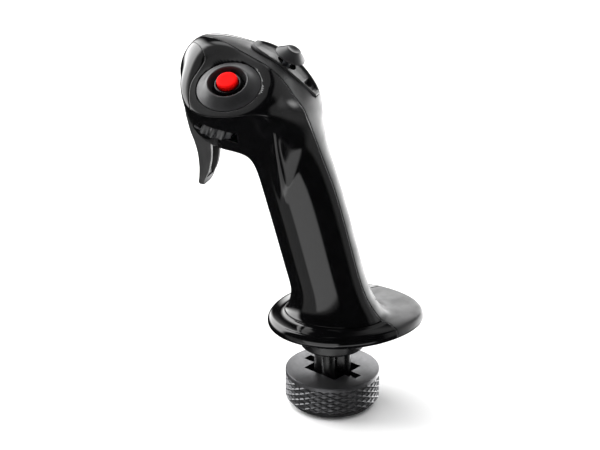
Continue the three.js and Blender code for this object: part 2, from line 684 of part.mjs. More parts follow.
// Centre and angles of the arc that the panel's mid-line follows, in the YZ plane.
function panelArc() {
  const front = new THREE.Vector2(...PANEL.front);
  const rear = new THREE.Vector2(...PANEL.rear);
  const half = front.distanceTo(rear) / 2;
  const middle = front.clone().add(rear).multiplyScalar(0.5);
  const along = rear.clone().sub(front).normalize();
  const drop = Math.sqrt(PANEL.radius ** 2 - half ** 2);
  const centre = middle.clone().add(new THREE.Vector2(-along.y, along.x).multiplyScalar(drop));
  const from = Math.atan2(front.y - centre.y, front.x - centre.x);
  const to = Math.atan2(rear.y - centre.y, rear.x - centre.x);
  return { centre, from, to };
}

// Half-width of the leaf-shaped panel at t from its front (0) to its rear (1).
function panelHalf(t) {
  const leaf = Math.sin(Math.PI * Math.max(mix(0.012, 0.95, t), 0.004) ** 0.75);
  return PANEL.half * leaf ** 0.55;
}

function panelPoint(t, v, depth, grow) {
  const { centre, from, to } = PANEL_SWEEP;
  const angle = mix(from, to, t);
  const radius = PANEL.radius - depth;
  return [v * (panelHalf(t) + grow), centre.x + radius * Math.cos(angle), centre.y + radius * Math.sin(angle)];
}

// The panel is thicker towards its front, where it stands proud of the spine.
function panelThickness(t) {
  return mix(PANEL.thick, PANEL.thin, ease(2 * t));
}

const OPEN_ABOVE = 6; // how far the panel's space is cleared above it

// The panel, or with grow the space it needs, open above.
function panelSolid(grow = 0) {
  const rows = 24;
  const columns = 6;
  const positions = [];
  [false, true].forEach((low) => {
    for (let i = 0; i <= rows; i += 1) {
      const t = i / rows;
      const reach = mix(-grow, grow, t) / PANEL.length;
      const above = grow > 0 ? -OPEN_ABOVE : 0;
      const depth = low ? panelThickness(t) + grow : above;
      for (let j = 0; j <= columns; j += 1) {
        positions.push(...panelPoint(t + reach, mix(-1, 1, j / columns), depth, grow));
      }
    }
  });
  const index = [];
  const layer = (rows + 1) * (columns + 1);
  const at = (i, j, low) => low * layer + i * (columns + 1) + j;
  const quad = (p, q, r, t) => index.push(p, q, r, p, r, t);
  for (let i = 0; i < rows; i += 1) {
    for (let j = 0; j < columns; j += 1) {
      quad(at(i, j, 0), at(i + 1, j, 0), at(i + 1, j + 1, 0), at(i, j + 1, 0));
      quad(at(i, j, 1), at(i, j + 1, 1), at(i + 1, j + 1, 1), at(i + 1, j, 1));
    }
    quad(at(i, 0, 0), at(i, 0, 1), at(i + 1, 0, 1), at(i + 1, 0, 0));
    quad(at(i, columns, 0), at(i + 1, columns, 0), at(i + 1, columns, 1), at(i, columns, 1));
  }
  for (let j = 0; j < columns; j += 1) {
    quad(at(0, j, 0), at(0, j + 1, 0), at(0, j + 1, 1), at(0, j, 1));
    quad(at(rows, j, 0), at(rows, j, 1), at(rows, j + 1, 1), at(rows, j + 1, 0));
  }
  const geometry = new THREE.BufferGeometry();
  geometry.setAttribute("position", new THREE.Float32BufferAttribute(positions, 3));
  geometry.setIndex(index);
  return solidOf(geometry);
}

function addPanel() {
  addPiece("stick_panel", panelSolid().subtract(placed(rod(5, 0, 14, 24), stickFrame)), "satin");
}

function addStick() {
  const place = groupAt(stickFrame);
  const { capBase, capTop, baseRadius, topRadius } = STICK;
  const module = block(13, 12, -7, 1.4).subtract(rod(5.7, -3.6, 2, 24));
  addPiece("stick_module", module, "module", place);
  const yoke = pipe(3.9, 5.2, -1.3, 1.3, 24);
  addPiece("stick_yoke", yoke, "zinc", place);
  const ball = solidOf(new THREE.SphereGeometry(3, 16, 12));
  addPiece("stick_shaft", ball.add(rod(2, 0, capBase + 2, 16)), "zinc", place);
  const cap = turned([
    [2.3, capBase], [baseRadius - 0.5, capBase], [baseRadius, capBase + 0.5], [baseRadius - 0.1, capBase + 1.3],
    [topRadius + 0.5, capTop - 0.3], [topRadius, capTop], [topRadius - 0.6, capTop], [1.6, capTop - 0.7],
    [0, capTop - 0.9], [0, capBase + 2.3], [2.3, capBase + 2.3], [2.3, capBase],
  ], 24);
  addPiece("stick_cap", cap, "matte", place);
}

// ---------------------------------------------------------------- trigger
// Outline of the blade: down the front, round the tip and up the back, [y, z].
const BLADE_FRONT = [
  [75.4, 158], [75.8, 152.5], [75.1, 147], [73.1, 139.3], [70.8, 133.3], [69.2, 127.2], [68.6, 121],
  [68.7, 116.5], [69.2, 112.6],
];
const BLADE_REAR = [
  [68.6, 110.3], [67.2, 110.2], [65.6, 114.4], [63.5, 119.4], [62.3, 125.5], [62.2, 132], [63.6, 139],
  [64.6, 147], [65, 158],
];
const CHANNEL_DEPTH = 2.6;

// Limits of the blade seen from the front: straight sides and a rounded tip.
function tongue() {
  const { half, tip } = TRIGGER;
  const shape = new THREE.Shape();
  shape.moveTo(half, 170);
  shape.lineTo(half, tip + 2.4);
  shape.bezierCurveTo(half, tip + 0.8, half - 2.2, tip, half - 4.5, tip);
  shape.lineTo(4.5 - half, tip);
  shape.bezierCurveTo(2.2 - half, tip, -half, tip + 0.8, -half, tip + 2.4);
  shape.lineTo(-half, 170);
  const plate = new THREE.ExtrudeGeometry(shape, { depth: 60, bevelEnabled: false, curveSegments: 6 });
  return solidOf(plate.rotateX(Math.PI / 2).translate(0, 100, 0));
}

// The blade: a channel open at the back, closed in front and at its tip.
function triggerBlade() {
  const { half, wall } = TRIGGER;
  const front = new THREE.SplineCurve(BLADE_FRONT.map(([y, z]) => new THREE.Vector2(y, z))).getPoints(20);
  const rear = new THREE.SplineCurve(BLADE_REAR.map(([y, z]) => new THREE.Vector2(y, z))).getPoints(20);
  const outline = [...front, ...rear].map((point) => [point.x, point.y]);
  const inner = front.map((point) => [point.x - CHANNEL_DEPTH, point.y]).filter(([, z]) => z > 114);
  const [, lowest] = inner[inner.length - 1];
  const hollow = [[inner[0][0], 170], ...inner, [40, lowest], [40, 170]];
  return sidePlate(outline, -half, half).subtract(sidePlate(hollow, wall - half, half - wall)).intersect(tongue());
}

function addTrigger() {
  const [pivotY, pivotZ] = TRIGGER_PIVOT;
  const { lever, hub, bore, coil } = TRIGGER;
  const web = [[66, 148], [73.6, 148], [73.6, pivotZ + 1], [66, pivotZ + 1]];
  let trigger = triggerBlade().add(sidePlate(web, -lever, lever));
  trigger = trigger.add(crossRod(hub, -lever, lever, pivotY, pivotZ, 24));
  trigger = trigger.subtract(crossRod(coil + GAP, 0.9, lever + 0.2, pivotY, pivotZ, 20));
  addPiece("trigger", trigger.subtract(crossRod(bore, -4.2, 4.2, pivotY, pivotZ, 20)), "matte");
  addPiece("trigger_pin", crossRod(bore - 0.15, -4, 4, pivotY, pivotZ, 20), "steel");
  const wire = crossRod(coil, 1.2, lever + 0.1, pivotY, pivotZ, 20);
  addPiece("trigger_spring", wire.subtract(crossRod(bore + 0.25, -9, 9, pivotY, pivotZ, 20)), "steel");
  const cheek = [[62.6, 153.2], [71.6, 153.2], [72, 160.4], [62.6, 163.2]];
  let bracket = sidePlate(cheek, -lever - 1.3, -lever - GAP).add(sidePlate(cheek, lever + GAP, lever + 1.3));
  bracket = bracket.add(sidePlate([[60.6, 151], [62.7, 151], [62.7, 163.2], [60.6, 163.2]], -6.2, 6.2));
  addPiece("trigger_bracket", bracket.subtract(crossRod(bore + 0.1, -20, 20, pivotY, pivotZ, 20)), "zinc");
  const switchBody = sidePlate([[54, 150.5], [60.2, 150.5], [60.2, 162], [54, 162]], -4, 4);
  addPiece("trigger_switch", switchBody, "module");
}

// ---------------------------------------------------------------- thumb wheel
function addWheel() {
  const place = groupAt(wheelFrame);
  const { radius, lobe, lobes, thickness, bore } = WHEEL;
  const rim = [];
  const steps = lobes * 6;
  for (let k = 0; k < steps; k += 1) {
    const angle = (2 * Math.PI * k) / steps;
    const r = radius - lobe + lobe * Math.cos(lobes * angle);
    rim.push(new THREE.Vector2(r * Math.cos(angle), r * Math.sin(angle)));
  }
  const disc = new THREE.ExtrudeGeometry(new THREE.Shape(rim), { depth: thickness, bevelEnabled: false });
  const wheel = solidOf(disc.translate(0, 0, -thickness / 2)).subtract(rod(bore, -9, 9, 16));
  addPiece("thumb_wheel", wheel, "matte", place);
  addPiece("wheel_axle", rod(bore - 0.3, -3.7, 6.2, 16), "steel", place);
  addPiece("wheel_encoder", block(8, 8, 3.6, 6.6).subtract(rod(bore, 3, 7, 16)), "module", place);
}

addCollar();
addPlug();
addColumn();
addCup();
addCore();
addHarness();
addBoard();
addCovers();
addShellScrews();
addButton();
addPanel();
addStick();
addTrigger();
addWheel();

export default grip;
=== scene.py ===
"""Looks for the flight-stick grip: fine shells, knurled collar, controls, materials and a studio.

The body surface is the same spline net that the CAD model uses. Lengths in the net are millimetres
and become metres when a mesh is made. +Z is up, +Y forward, +X to the pilot's right.
"""
import math

import bmesh
import bpy
import json
import numpy as np
from mathutils import Matrix, Vector


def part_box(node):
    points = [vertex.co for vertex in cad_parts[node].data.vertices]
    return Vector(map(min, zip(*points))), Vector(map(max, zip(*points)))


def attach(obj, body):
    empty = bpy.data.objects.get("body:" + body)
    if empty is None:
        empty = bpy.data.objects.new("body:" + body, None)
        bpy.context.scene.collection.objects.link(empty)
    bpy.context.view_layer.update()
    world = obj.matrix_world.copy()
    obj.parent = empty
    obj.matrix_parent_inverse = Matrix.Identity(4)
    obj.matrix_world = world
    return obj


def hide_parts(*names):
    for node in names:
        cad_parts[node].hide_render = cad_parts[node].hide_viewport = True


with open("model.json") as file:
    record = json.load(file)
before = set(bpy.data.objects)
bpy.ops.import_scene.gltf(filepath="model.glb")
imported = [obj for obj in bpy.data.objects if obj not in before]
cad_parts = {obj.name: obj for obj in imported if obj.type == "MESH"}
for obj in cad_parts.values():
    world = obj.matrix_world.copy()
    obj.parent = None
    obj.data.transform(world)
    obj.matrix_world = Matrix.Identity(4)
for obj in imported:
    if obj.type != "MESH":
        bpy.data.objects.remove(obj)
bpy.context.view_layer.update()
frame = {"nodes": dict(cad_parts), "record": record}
scene = bpy.context.scene

# ---------------------------------------------------------------- driving dimensions, mm
MM = 0.001
GAP = 0.3
WALL = 1.3  # the fine shells are thinner than the CAD ones, so that curved walls stay clean
EDGE = 0.35  # radius of the covers' edges

REST_BASE, REST_TOP = 40.0, 47.4
CUP_RADIUS = 17.2
BOSS_CENTRE = np.array([-28.0, 43.3, 172.0])
BOSS_NORMAL = np.array([-0.503, -0.033, 0.863])
BOSS_NORMAL /= np.linalg.norm(BOSS_NORMAL)
BOSS_FLAT, BOSS_BLEND, LIP_LOW, LIP_HIGH, RIDGE = 17.0, 34.0, 3.0, 4.3, 7.5
BOSS_OPENING = 15.8
STICK_PIVOT = np.array([0.0, 27.0, 172.0])
STICK_TILT = 26.0
WHEEL_CENTRE = np.array([-23.4, 52.6, 150.4])
WHEEL_TILT = 20.0
WHEEL_RADIUS, WHEEL_HALF, WHEEL_LOBE, WHEEL_LOBES, WHEEL_BORE = 10.0, 3.0, 0.8, 11, 2.1
TRIGGER_PIVOT = (69, 156.5)  # y, z
TRIGGER_HALF, TRIGGER_WALL, LEVER_HALF = 6.5, 2.2, 2.6
COLLAR_RADIUS, COLLAR_HEIGHT, COLLAR_BORE, COLLAR_ROOF = 24.0, 18.0, 18.2, 13.0
COLLAR_TURN = math.radians(-21.5)
COLUMN_FOOT = 11.8
SHELL_SCREWS = 4


# ---------------------------------------------------------------- body surface
RING = 16
NET_GAIN = 3 / (2 + math.cos(2 * math.pi / RING))

REST_CENTRE = (6, -3)
REST_PLAN = [
    (3, 34.5), (-10, 32), (-19.5, 25), (-25.5, 15), (-27.5, 3), (-26, -9), (-20.5, -19.5), (-12, -29.5),
    (0, -37.5), (13, -42), (24.5, -41), (35.2, -33.5), (42.5, -20), (45.5, -4), (39.5, 14), (24, 31),
]
WINGED = [
    (0, -0.02), (-0.26, 0), (-0.52, 0.17), (-0.86, 0.44), (-1.08, 0.59), (-1.0, 0.71), (-0.7, 0.84),
    (-0.36, 0.95), (0, 1.02), (0.38, 1.0), (0.74, 0.9), (1.0, 0.68), (1.05, 0.48), (0.88, 0.27), (0.58, 0.1),
    (0.26, 0),
]
# Sections: low [y, z], high [y, z], half-width left and right, wing, lift of the lip.
SECTIONS = [
    ((22.6, 53.0), (-24.2, 53.5), 17.0, 17.5, 0, 0),
    ((21.0, 60.5), (-19.0, 61.5), 15.7, 15.7, 0, 0),
    ((24.2, 70.0), (-15.2, 73.0), 15.5, 15.5, 0, 0),
    ((29.4, 88.5), (-9.4, 95.0), 15.5, 15.5, 0, 0),
    ((34.8, 106.5), (-2.9, 117.0), 15.5, 15.5, 0, 0),
    ((38.6, 120.2), (3.4, 134.0), 16, 16, 0, 0),
    ((42.3, 127.6), (7.2, 148.0), 19, 18, 0.15, 0.12),
    ((47.5, 130.0), (7.4, 161.5), 27, 21, 0.5, 0.12),
    ((53.5, 131.2), (15.5, 173.0), 37, 23, 0.85, 0.08),
    ((60.0, 133.2), (29.0, 180.0), 43, 23.5, 1, 0.0),
    ((66.5, 137.8), (43.5, 184.5), 43.5, 22.5, 1, -0.08),
    ((70.5, 145.0), (56.0, 187.0), 35, 20, 0.9, -0.1),
    ((73.0, 151.5), (66.0, 187.2), 23.2, 17, 0.6, -0.08),
    ((75.5, 157.0), (72.4, 185.0), 13.5, 13, 0.3, 0),
    ((77.6, 163.0), (77.2, 178.0), 7.5, 7.5, 0, 0),
    ((78.2, 169.5), (78.2, 171.5), 1, 1, 0, 0),
    ((78.2, 170.5), (78.2, 170.5), 0, 0, 0, 0),
]


def mix(a, b, t):
    return a + (b - a) * t


def ease(t):
    s = np.clip(t, 0, 1)
    return s * s * s * (s * (6 * s - 15) + 10)


def section_ring(low, high, left, right, wing, lift):
    """Control points round one section, counted from the front over the left to the back."""
    ring = []
    for k in range(RING):
        angle = 2 * math.pi * k / RING
        round_x = -math.sin(angle) * NET_GAIN
        round_chord = 0.5 - 0.5 * math.cos(angle) * NET_GAIN
        lateral = mix(round_x, WINGED[k][0], wing)
        lifted = lift * math.sin(math.pi * min(max(round_chord, 0), 1)) if lateral < 0 else 0
        chord = mix(round_chord, WINGED[k][1], wing) + lifted
        x = lateral * (left if lateral < 0 else right)
        ring.append((x, mix(low[0], high[0], chord), mix(low[1], high[1], chord)))
    return ring


def rest_ring(scale, z):
    return [(mix(REST_CENTRE[0], x, scale), mix(REST_CENTRE[1], y, scale), z) for x, y in REST_PLAN]


def blend_ring(ring, share, z):
    return [(mix(p[0], x, share), mix(p[1], y, share), z) for p, (x, y) in zip(ring, REST_PLAN)]


def body_net():
    reach = NET_GAIN * (CUP_RADIUS + 1.1)
    under = []
    for k in range(RING):
        angle = 2 * math.pi * k / RING
        under.append((-math.sin(angle) * reach, math.cos(angle) * reach, REST_BASE))
    foot = section_ring(*SECTIONS[0])
    rings = [
        blend_ring(under, 0, REST_BASE),
        blend_ring(under, 0.25, REST_BASE),
        rest_ring(0.9, REST_BASE),
        rest_ring(1.0, REST_BASE + 1),
        rest_ring(1.02, 44),
        rest_ring(0.985, 46.8),
        rest_ring(0.93, REST_TOP),
        blend_ring(foot, 0.55, 48),
        blend_ring(foot, 0.2, 48.8),
    ]
    return np.array(rings + [section_ring(*section) for section in SECTIONS])


NET = body_net()
NOSE_TIP = len(NET) - 1


def spline_weights(t):
    u = 1 - t
    return np.stack([u**3, 3 * t**3 - 6 * t * t + 4, -3 * t**3 + 3 * t * t + 3 * t + 1, t**3], -1) / 6


def body_point(s, a):
    """Points of the body surface for arrays of rows s and columns a."""
    s, a = np.broadcast_arrays(np.asarray(s, float), np.asarray(a, float))
    row = np.minimum(np.floor(s), NOSE_TIP - 1).astype(int)
    column = np.floor(a).astype(int)
    row_weights = spline_weights(s - row)
    column_weights = spline_weights(a - column)
    point = np.zeros(s.shape + (3,))
    for i in range(4):
        ring = np.clip(row - 1 + i, 0, NOSE_TIP)
        for j in range(4):
            weight = row_weights[..., i] * column_weights[..., j]
            point += weight[..., None] * NET[ring, (column - 1 + j) % RING]
    offset = point - BOSS_CENTRE
    height = offset @ BOSS_NORMAL
    radius = np.linalg.norm(offset - height[..., None] * BOSS_NORMAL, axis=-1)
    near = 1 - ease((radius - BOSS_FLAT) / (BOSS_BLEND - BOSS_FLAT))
    wrapped = a % RING
    above = ease((wrapped - LIP_LOW) / (LIP_HIGH - LIP_LOW)) * (1 - ease((wrapped - RIDGE) / 1.5))
    return point - (height * near * above)[..., None] * BOSS_NORMAL


STEP = 0.02


def body_normal(s, a):
    s, a = np.broadcast_arrays(np.asarray(s, float), np.asarray(a, float))
    along = body_point(s + STEP, a) - body_point(s - STEP, a)
    around = body_point(s, a + STEP) - body_point(s, a - STEP)
    normal = np.cross(around, along)
    normal /= np.maximum(np.linalg.norm(normal, axis=-1, keepdims=True), 1e-12)
    normal[s > NOSE_TIP - 0.3] = (0, 1, 0)
    return normal


# ---------------------------------------------------------------- seams
FOOT_ROW = 0.25
SKIRT_ROW = 8.0
SPINE_END = 21.5
TOP_COLUMN = RING / 2
SPINE_LEFT = [
    (0, 7.7), (6, 7.72), (7.2, 7.85), (8.2, 7.75), (9.5, 7.42), (11, 7.3), (13.2, 7.3), (14.4, 7.05),
    (15.6, 6.68), (16.6, 6.7), (18, 7.2), (19.4, 7.55), (20.6, 7.85), (SPINE_END, 7.97),
]
SPINE_RIGHT = [(row, mix(RING - column, 12.5, float(ease((9.8 - row) / 2.6)))) for row, column in SPINE_LEFT]


def along_keys(keys, s):
    rows = [row for row, _ in keys]
    columns = [column for _, column in keys]
    return np.where(s >= SPINE_END, TOP_COLUMN, np.interp(s, rows, columns))


def spine_left(s):
    return along_keys(SPINE_LEFT, s)


def spine_right(s):
    return along_keys(SPINE_RIGHT, s)


def nose_row(a):
    side = np.abs((a + TOP_COLUMN) % RING - TOP_COLUMN)
    return 20.25 + 1.9 * ease((side - 6.3) / 1.4) - ease((5.6 - side) / 2)


def rows_for(distance, s, a):
    return distance * 2 * STEP / np.linalg.norm(body_point(s + STEP, a) - body_point(s - STEP, a), axis=-1)


def columns_for(distance, s, a):
    return distance * 2 * STEP / np.linalg.norm(body_point(s, a + STEP) - body_point(s, a - STEP), axis=-1)


# ---------------------------------------------------------------- mesh helpers
def new_object(name, vertices, faces, smooth=True):
    """A mesh object from points in millimetres."""
    mesh = bpy.data.meshes.new(name)
    mesh.from_pydata([tuple(v) for v in np.asarray(vertices, float) * MM], [], faces)
    mesh.validate()
    mesh.update()
    if smooth:
        mesh.polygons.foreach_set("use_smooth", [True] * len(mesh.polygons))
    obj = bpy.data.objects.new(name, mesh)
    scene.collection.objects.link(obj)
    return obj


def prism(name, low, high):
    """A straight solid between two matching outlines of points."""
    count = len(low)
    faces = [tuple(range(count)), tuple(range(2 * count - 1, count - 1, -1))]
    for k in range(count):
        n = (k + 1) % count
        faces.append((k, count + k, count + n, n))
    obj = new_object(name, low + high, faces, smooth=False)
    weld(obj)
    return obj


def grid_faces(rows, columns, start=0, wrap=False, flip=False):
    """Quads of a grid whose vertices run column by column inside each row."""
    count = columns if wrap else columns + 1
    faces = []
    for i in range(rows):
        for j in range(columns):
            a, b = start + i * count + j, start + i * count + (j + 1) % count
            c, d = b + count, a + count
            faces.append((a, d, c, b) if flip else (a, b, c, d))
    return faces


def use_modifiers(obj):
    """Replaces an object's mesh with its evaluated mesh."""
    bpy.context.view_layer.update()
    graph = bpy.context.evaluated_depsgraph_get()
    mesh = bpy.data.meshes.new_from_object(obj.evaluated_get(graph))
    old = obj.data
    obj.modifiers.clear()
    obj.data = mesh
    bpy.data.meshes.remove(old)


def combine(obj, operation, others):
    for other in others:
        change = obj.modifiers.new("combine", "BOOLEAN")
        change.object = other
        change.operation = operation
        change.solver = "EXACT"
    use_modifiers(obj)
    for other in others:
        bpy.data.objects.remove(other)


def cut(obj, *tools):
    """Cuts the tools out of obj and deletes them."""
    combine(obj, "DIFFERENCE", tools)


def union(obj, *others):
    """Joins other solids to obj and deletes them."""
    combine(obj, "UNION", others)


def sharpen(obj, degrees=40):
    """Smooth shading that keeps edges above an angle crisp."""
    obj.data.set_sharp_from_angle(angle=math.radians(degrees))


def ring_at(radius, angle, z):
    """Points of one level ring."""
    return np.stack([radius * np.cos(angle), radius * np.sin(angle), np.full(len(angle), z)], -1)


def lathe(name, profile, sides=96, matrix=None):
    """A solid turned round Z from (radius, z) points, closed along the axis where they start and end."""
    angle = np.arange(sides) * 2 * math.pi / sides
    vertices = np.concatenate([ring_at(radius, angle, z) for radius, z in profile])
    obj = new_object(name, vertices, grid_faces(len(profile) - 1, sides, wrap=True))
    weld(obj)
    if matrix is not None:
        obj.data.transform(matrix)
    return obj


def weld(obj, distance=1e-6):
    """Joins coinciding points, and turns the faces outwards."""
    work = bmesh.new()
    work.from_mesh(obj.data)
    bmesh.ops.remove_doubles(work, verts=work.verts, dist=distance)
    bmesh.ops.dissolve_degenerate(work, edges=work.edges, dist=distance)
    bmesh.ops.recalc_face_normals(work, faces=work.faces)
    work.to_mesh(obj.data)
    work.free()


def arc(centre, radius, start, end, steps):
    """Points on an arc in a profile, angles in degrees."""
    angles = np.radians(np.linspace(start, end, steps + 1))
    return [(centre[0] + radius * math.cos(t), centre[1] + radius * math.sin(t)) for t in angles]


def frame_at(origin, axis):
    """A matrix in metres with its origin at a point in mm and its Z along an axis."""
    z = Vector(axis).normalized()
    x = Vector((0, 1, 0)).cross(z).normalized()
    y = z.cross(x)
    matrix = Matrix((x, y, z)).transposed().to_4x4()
    matrix.translation = Vector(origin) * MM
    return matrix


def leaning(degrees):
    return (0, math.sin(math.radians(degrees)), math.cos(math.radians(degrees)))


BOSS_FRAME = frame_at(BOSS_CENTRE, BOSS_NORMAL)
STICK_FRAME = frame_at(STICK_PIVOT, leaning(-STICK_TILT))
WHEEL_FRAME = frame_at(WHEEL_CENTRE, leaning(-WHEEL_TILT))


def box_tool(size, centre, matrix=None):
    """A box for cutting; size and centre in mm."""
    work = bmesh.new()
    bmesh.ops.create_cube(work, size=1)
    mesh = bpy.data.meshes.new("tool")
    work.to_mesh(mesh)
    work.free()
    obj = bpy.data.objects.new("tool", mesh)
    scene.collection.objects.link(obj)
    scale = Matrix.Diagonal(Vector(size) * MM).to_4x4()
    scale.translation = Vector(centre) * MM
    mesh.transform(scale)
    if matrix is not None:
        mesh.transform(matrix)
    return obj


def rod_tool(radius, low, high, matrix, sides=96):
    return lathe("tool", [(0, low), (radius, low), (radius, high), (0, high)], sides, matrix)


def plate(name, outline, left, right):
    """A plate cut to a [y, z] outline between two x values, mm."""
    return prism(name, [(left, y, z) for y, z in outline], [(right, y, z) for y, z in outline])


def cross_rod(radius, left, right, y, z, sides=64):
    """A rod along X through [y, z], between two x values."""
    place = Matrix.Rotation(math.pi / 2, 4, "Y")
    place.translation = Vector((0, y, z)) * MM
    return rod_tool(radius, left, right, place, sides)


def bevel(obj, width, segments, degrees):
    """Rounds the edges that are sharper than an angle."""
    change = obj.modifiers.new("bevel", "BEVEL")
    change.width = width * MM
    change.segments = segments
    change.limit_method = "ANGLE"
    change.angle_limit = math.radians(degrees)
    change.harden_normals = False
    use_modifiers(obj)
    obj.data.polygons.foreach_set("use_smooth", [True] * len(obj.data.polygons))
    sharpen(obj, 50)


# ---------------------------------------------------------------- covers
ROLL = [EDGE * t for t in (0.0, 0.12, 0.3, 0.55, 0.8, 1.0)]  # distances in from an edge


def roll_depth(distance):
    """How far a rounded edge has fallen at a distance in from it."""
    inside = np.clip(EDGE - distance, 0, EDGE)
    return EDGE - np.sqrt(EDGE * EDGE - inside * inside)


def edge_plan(count, first=True, last=True):
    """Grid lines across a cover: (kind, value) with distances near rounded edges."""
    plan = [("low", d) for d in ROLL[:-1]] if first else []
    plan += [("mid", k / count) for k in range(count + 1)]
    if last:
        plan += [("high", d) for d in reversed(ROLL[:-1])]
    return plan


def spread(plan, low, high, per_mm_low, per_mm_high):
    """Turns an edge plan into parameters between low and high, and edge depths."""
    values, depths = [], []
    inner_low = low + (per_mm_low * EDGE if plan[0][0] == "low" else 0)
    inner_high = high - (per_mm_high * EDGE if plan[-1][0] == "high" else 0)
    for kind, value in plan:
        if kind == "low":
            values.append(low + per_mm_low * value)
            depths.append(float(roll_depth(value)))
        elif kind == "high":
            values.append(high - per_mm_high * value)
            depths.append(float(roll_depth(value)))
        else:
            values.append(mix(inner_low, inner_high, value))
            depths.append(0.0)
    return np.array(values), np.array(depths)


def shell_mesh(name, s, a, depth, wrap=False, wall=WALL):
    """A closed cover through surface parameters s and a, sunk by depth at its edges."""
    point, normal = body_point(s, a), body_normal(s, a)
    rows, columns = s.shape[0] - 1, s.shape[1] - (0 if wrap else 1)
    outer = (point - normal * depth[..., None]).reshape(-1, 3)
    inner = (point - normal * wall).reshape(-1, 3)
    layer = len(outer)
    count = s.shape[1]
    faces = grid_faces(rows, columns, wrap=wrap)
    faces += grid_faces(rows, columns, layer, wrap=wrap, flip=True)

    def strip(ids):
        for p, q in zip(ids[:-1], ids[1:]):
            faces.append((p, q, q + layer, p + layer))

    top, bottom = [rows * count + j for j in range(count)], list(range(count))
    if wrap:
        strip(bottom[::-1] + [bottom[-1]])
        strip(top + [top[0]])
    else:
        strip(bottom[::-1])
        strip(top)
        strip([i * count for i in range(rows + 1)])
        strip([i * count + columns for i in range(rows, -1, -1)])
    obj = new_object(name, np.concatenate([outer, inner]), faces)
    weld(obj, 1e-7)
    return obj


HALF_GAP = GAP / 2


def edge_place(kind, value, low, high, per_low, per_high):
    """Column of a grid line between two edges; the rounded edges shrink where a cover is narrow."""
    start, end = low + per_low * HALF_GAP, high - per_high * HALF_GAP
    share = np.clip(0.45 * (end - start) / (per_low * EDGE), 0, 1)
    if kind == "low":
        return start + per_low * value * share
    if kind == "high":
        return end - per_high * value * share
    return mix(start + per_low * EDGE * share, end - per_high * EDGE * share, value)


def cover(name, edges, start, end, rows, columns, round_start=True, round_end=True):
    """A cover between two edges. edges(s) gives its columns low and high; start(a) and end(a) its rows."""
    row_plan = edge_plan(rows, round_start, round_end)
    column_plan = edge_plan(columns)
    shape = (len(row_plan), len(column_plan))
    s_grid, a_grid, depth = np.zeros(shape), np.zeros(shape), np.zeros(shape)
    for j, (kind, value) in enumerate(column_plan):

        def column(s, kind=kind, value=value):
            low, high = edges(s)
            return edge_place(kind, value, low, high, columns_for(1, s, low), columns_for(1, s, high))

        first, last = start(0.0), end(0.0)
        for _ in range(8):
            first, last = start(column(first)), end(column(last))
        first_mm, last_mm = rows_for(1, first, column(first)), rows_for(1, last, column(last))
        if round_start:
            first = first + first_mm * HALF_GAP
        if round_end:
            last = last - last_mm * HALF_GAP
        s_grid[:, j], row_depth = spread(row_plan, float(first), float(last), float(first_mm), float(last_mm))
        a_grid[:, j] = column(s_grid[:, j])
        column_depth = 0 if kind == "mid" else roll_depth(value)
        depth[:, j] = np.minimum(row_depth + column_depth, EDGE)
    return shell_mesh(name, s_grid, a_grid, depth)


def trigger_well():
    """The space that the trigger swings in."""
    outline = [
        (57.5, 118), (57.5, 138), (60.5, 143), (66, 152), (70, 163.5), (76.3, 163.5), (84, 158), (90, 118),
    ]
    return plate("tool", outline, -7.3, 7.3)


def wheel_slot():
    """Tools for the slot that the wheel shows through."""
    mouth = box_tool((26, 17.6, 8.2), (-4, -4.8, 0.1), WHEEL_FRAME)
    return mouth, rod_tool(WHEEL_RADIUS + 0.7, -WHEEL_HALF - 1, WHEEL_HALF + 1.2, WHEEL_FRAME, 96)


# The columns between which each cover lies, at row s, and the rows where it starts or ends.
def left_edges(s):
    return 0.0 * s, spine_left(s)


def right_edges(s):
    return spine_right(s), RING + 0.0 * s


def spine_edges(s):
    return spine_left(s), spine_right(s)


def rest_edges(s):
    return spine_right(s) - RING, spine_left(s)


def at_foot(a):
    return FOOT_ROW


def at_skirt(a):
    return SKIRT_ROW


def at_spine_end(a):
    return SPINE_END


def build_left_shell():
    shell = cover("left_shell_fine", left_edges, at_skirt, nose_row, 230, 84)
    cut(shell, rod_tool(BOSS_OPENING, -7, 9, BOSS_FRAME, 128), *wheel_slot(), trigger_well(), panel_space())
    return shell


def build_right_shell():
    shell = cover("right_shell_fine", right_edges, at_skirt, nose_row, 200, 60)
    tools = [trigger_well(), panel_space()]
    for k in range(SHELL_SCREWS):
        low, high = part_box(f"shell_screw_{k + 1}")
        place = Matrix.Rotation(math.pi / 2, 4, "Y")
        place.translation = Vector((0, (low.y + high.y) / 2, (low.z + high.z) / 2))
        tools.append(rod_tool(3.0, high.x / MM - 4, 32, place, 48))
    cut(shell, *tools)
    return shell


def build_spine():
    spine = cover("spine_fine", spine_edges, at_foot, at_spine_end, 230, 34, False, False)
    cut(spine, rod_tool(6.2, 0, 14, STICK_FRAME), panel_space())
    return spine


def build_rest():
    rest = cover("hand_rest_fine", rest_edges, at_foot, at_skirt, 110, 150, round_start=False)
    union(rest, skirt_lap())
    return rest


def skirt_lap():
    """A strip on the hand rest that runs up behind the skirt seam, so that no light comes through."""
    columns = 90
    s = np.linspace(SKIRT_ROW - 0.3, SKIRT_ROW + 0.35, 7)[:, None] + np.zeros((1, columns))
    share = np.linspace(0.02, 0.98, columns)[None, :]
    a = mix(spine_right(s) - RING, spine_left(s), share)
    return shell_mesh("lap", s, a, np.full(s.shape, WALL - 0.25), wall=WALL + 0.8)


